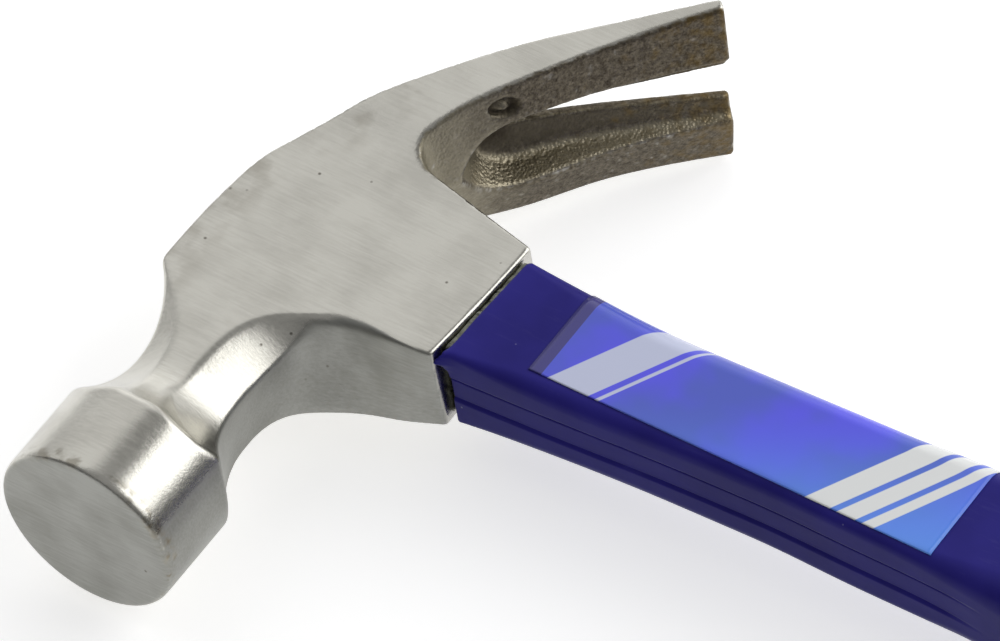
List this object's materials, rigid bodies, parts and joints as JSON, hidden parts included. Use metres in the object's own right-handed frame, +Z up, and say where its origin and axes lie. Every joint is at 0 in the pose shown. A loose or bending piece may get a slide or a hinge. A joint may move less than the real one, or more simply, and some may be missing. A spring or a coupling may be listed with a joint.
{
  "type": "claw hammer",
  "caption": "Forged steel claw hammer head with a round flat face and a split curved claw, bonded with resin to a plastic-jacketed fibreglass handle with a rubber grip.",
  "frame": {"origin": "on the surface that the hammer lies on, under the middle of its overall box", "axes": "+X down the handle from the crown to the butt, +Y from the striking face to the claw tips, +Z up, square to the cheeks"},
  "size_m": [0.33, 0.126, 0.0352],
  "materials": {
    "forged_steel": "ground satin outside, as forged under the claw",
    "pultruded_fibreglass": "sawn end",
    "epoxy_resin": "poured",
    "blue_polypropylene": "moulded gloss",
    "black_rubber": "moulded matt",
    "label_film": "printed film"
  },
  "bodies": {
    "root": {"hammer_head": "forged_steel", "fibreglass_core": "pultruded_fibreglass", "eye_resin": "epoxy_resin", "handle_jacket": "blue_polypropylene", "rubber_grip": "black_rubber", "handle_label": "label_film"}
  },
  "joints": []
}
